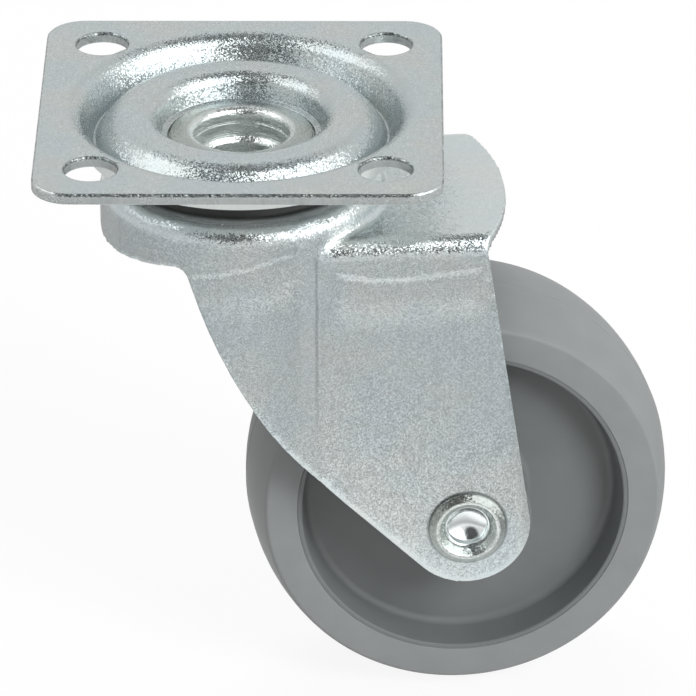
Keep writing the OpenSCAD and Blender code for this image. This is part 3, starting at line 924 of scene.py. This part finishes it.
# Stage

# What the metal sees: grey levels of the ceiling from the horizon (0) to overhead (1)
CEILING = [(0.0, 0.95), (0.5, 1.0), (0.82, 0.98), (0.91, 0.3), (0.96, 0.06), (1.0, 0.06)]
CEILING_GAIN = 0.84
# Soft boxes and shaded parts: azimuth from the camera to the right, elevation, inner and outer
# angle, and how much light they add or what share they take away
SOFT_BOXES = [(58, 30, 28, 43, 2.1), (-88, 46, 14, 32, 1.2), (20, 61, 6, 15, 2.2)]
SHADES = [(-12, 56, 16, 26, 0.97), (-8, 24, 18, 28, 0.97)]
# What the metal sees of the floor, by distance from the castor as a share of the glow's reach
FLOOR_GLOW = [(0.0, 1.0), (0.11, 1.0), (0.17, 0.64), (0.24, 0.42), (0.34, 0.35), (0.5, 0.6),
              (1.0, 0.8)]
FLOOR_GAIN = 1.3
GLOW_REACH = 0.5
FLOOR_SIZE = 4.0
FLOOR_PAINT = (0.8, 0.8, 0.8)
# Share of the backdrop's white in the floor, which leaves the rest to the castor's shadow
FLOOR_WHITE = 0.9
# Each lamp's name, place, size and power, and what they all face
LAMPS = [("Front Lamp", (0.82, -0.9, 0.75), 0.6, 18.5), ("Back Lamp", (-0.1, 0.8, 1.0), 0.8, 9.0)]
LAMP_TARGET = (0.01, 0.0, -0.04)


def towards(azimuth, elevation):
    """Direction at an azimuth from the camera's side to the right, and an elevation"""
    around, up = math.radians(azimuth), math.radians(elevation)
    return (math.sin(around) * math.cos(up), -math.cos(around) * math.cos(up), math.sin(up))


def facing(place, target):
    """Matrix that puts something at a place, with its -Z towards a target"""
    turn = (target - place).to_track_quat("-Z", "Y").to_matrix().to_4x4()
    return Matrix.Translation(place) @ turn


class CASTOR_OT_stage(bpy.types.Operator):
    """Sets up the floor, the room, the lamps and the camera"""

    bl_idname = "castor.stage"
    bl_label = "Stage"

    def execute(self, context):
        settings = context.scene.castor.stage
        self.add_floor(settings)
        self.light_room(context.scene, settings)
        for lamp in LAMPS:
            self.add_lamp(*lamp)
        self.add_camera(context.scene, settings)
        context.scene.view_settings.view_transform = "Standard"
        return {"FINISHED"}

    @staticmethod
    def add_floor(settings):
        """Pale floor that looks white and keeps the castor's shadow"""
        foot = (0, 0, CAD_BOX[0][2])
        mesh = bmesh.new()
        bmesh.ops.create_grid(mesh, x_segments=1, y_segments=1, size=FLOOR_SIZE)
        bmesh.ops.translate(mesh, verts=mesh.verts, vec=foot)
        data = bpy.data.meshes.new("floor")
        mesh.to_mesh(data)
        mesh.free()
        paint = material("Floor Paint")
        seen = paint.node("ShaderNodeLightPath")
        mirrored = paint.node("ShaderNodeLightPath", output="Is Glossy Ray")
        reach = paint.distance(paint.coordinates(), foot)
        far = FLOOR_GAIN * paint.ramp(reach * (1 / GLOW_REACH), FLOOR_GLOW)
        glow = paint.node("ShaderNodeEmission", inputs={
            "Color": paint.mix(mirrored, rgba((settings.white,) * 3), far)})
        matt = paint.node("ShaderNodeBsdfDiffuse", inputs={"Color": rgba(FLOOR_PAINT)})
        data.materials.append(paint.finish_with(paint.node("ShaderNodeMixShader", inputs={
            0: seen * FLOOR_WHITE + mirrored, 1: matt, 2: glow})))
        floor = bpy.data.objects.new("floor", data)
        bpy.context.scene.collection.objects.link(floor)

    @staticmethod
    def light_room(scene, settings):
        """White room whose soft boxes and shaded parts show in the metal"""
        room = Finish(bpy.data.worlds.new("Room"), "ShaderNodeOutputWorld")
        way = room.coordinates()

        def spot(azimuth, elevation, inner, outer):
            """1 within an inner angle from a direction and 0 beyond an outer one"""
            return room.soft_step(room.along(way, towards(azimuth, elevation)),
                                  math.cos(math.radians(outer)), math.cos(math.radians(inner)))

        level = CEILING_GAIN * room.ramp(room.along(way, UPWARD), CEILING)
        for *cone, share in SHADES:
            level = level * (1 - share * spot(*cone))
        for *cone, gain in SOFT_BOXES:
            level = level + gain * spot(*cone)
        seen = room.node("ShaderNodeLightPath")
        mirrored = room.node("ShaderNodeLightPath", output="Is Glossy Ray")
        strength = (seen * settings.white + mirrored * level
                    + (1 - seen - mirrored) * settings.room)
        scene.world = room.finish_with(room.node("ShaderNodeBackground", inputs={
            "Color": (1.0, 1.0, 1.0, 1.0), "Strength": strength}))

    @staticmethod
    def add_lamp(name, place, size, power):
        """Square soft lamp that faces the castor"""
        data = bpy.data.lights.new(name, "AREA")
        data.shape = "SQUARE"
        data.size = size
        data.energy = power
        lamp = bpy.data.objects.new(name, data)
        lamp.matrix_world = facing(Vector(place), Vector(LAMP_TARGET))
        lamp.visible_glossy = False
        bpy.context.scene.collection.objects.link(lamp)

    @staticmethod
    def add_camera(scene, settings):
        """Camera at the photograph's place"""
        data = bpy.data.cameras.new("Camera")
        data.sensor_width = 36.0
        data.lens = settings.lens
        data.clip_start = 0.01
        data.clip_end = 50.0
        camera = bpy.data.objects.new("Camera", data)
        camera.matrix_world = (
            Matrix.Translation(settings.eye)
            @ Matrix.Rotation(settings.heading, 4, "Z")
            @ Matrix.Rotation(math.pi / 2 - settings.tilt, 4, "X")
            @ Matrix.Rotation(settings.roll, 4, "Z"))
        scene.collection.objects.link(camera)
        scene.camera = camera


# Add-on


class CASTOR_PT_sidebar(bpy.types.Panel):
    """Lists the castor's pieces and settings"""

    bl_idname = "CASTOR_PT_sidebar"
    bl_label = "Swivel Castor"
    bl_space_type = "VIEW_3D"
    bl_region_type = "UI"
    bl_category = "Castor"

    def draw(self, context):
        for operator in OPERATORS:
            self.layout.operator(operator.bl_idname)
        settings = context.scene.castor
        for group in ("plate", "fork", "wheel", "finishes", "stage"):
            box = self.layout.box()
            sizes = getattr(settings, group)
            for name in sizes.bl_rna.properties.keys():
                if name not in ("rna_type", "name"):
                    box.prop(sizes, name)


GROUPS = (CastorPlateSizes, CastorForkSizes, CastorWheelSizes, CastorFinishes, CastorStage,
          CastorSettings)
OPERATORS = (CASTOR_OT_top_plate, CASTOR_OT_rivets, CASTOR_OT_bearings, CASTOR_OT_fork,
             CASTOR_OT_wheel, CASTOR_OT_stage)
CLASSES = GROUPS + OPERATORS + (CASTOR_PT_sidebar,)


def register():
    for each in CLASSES:
        bpy.utils.register_class(each)
    bpy.types.Scene.castor = PointerProperty(type=CastorSettings)


def unregister():
    del bpy.types.Scene.castor
    for each in reversed(CLASSES):
        bpy.utils.unregister_class(each)


def main():
    register()
    bpy.ops.castor.top_plate()
    bpy.ops.castor.rivets()
    bpy.ops.castor.bearings()
    bpy.ops.castor.fork()
    bpy.ops.castor.wheel()
    bpy.ops.castor.stage()


if __name__ == "__main__":
    main()
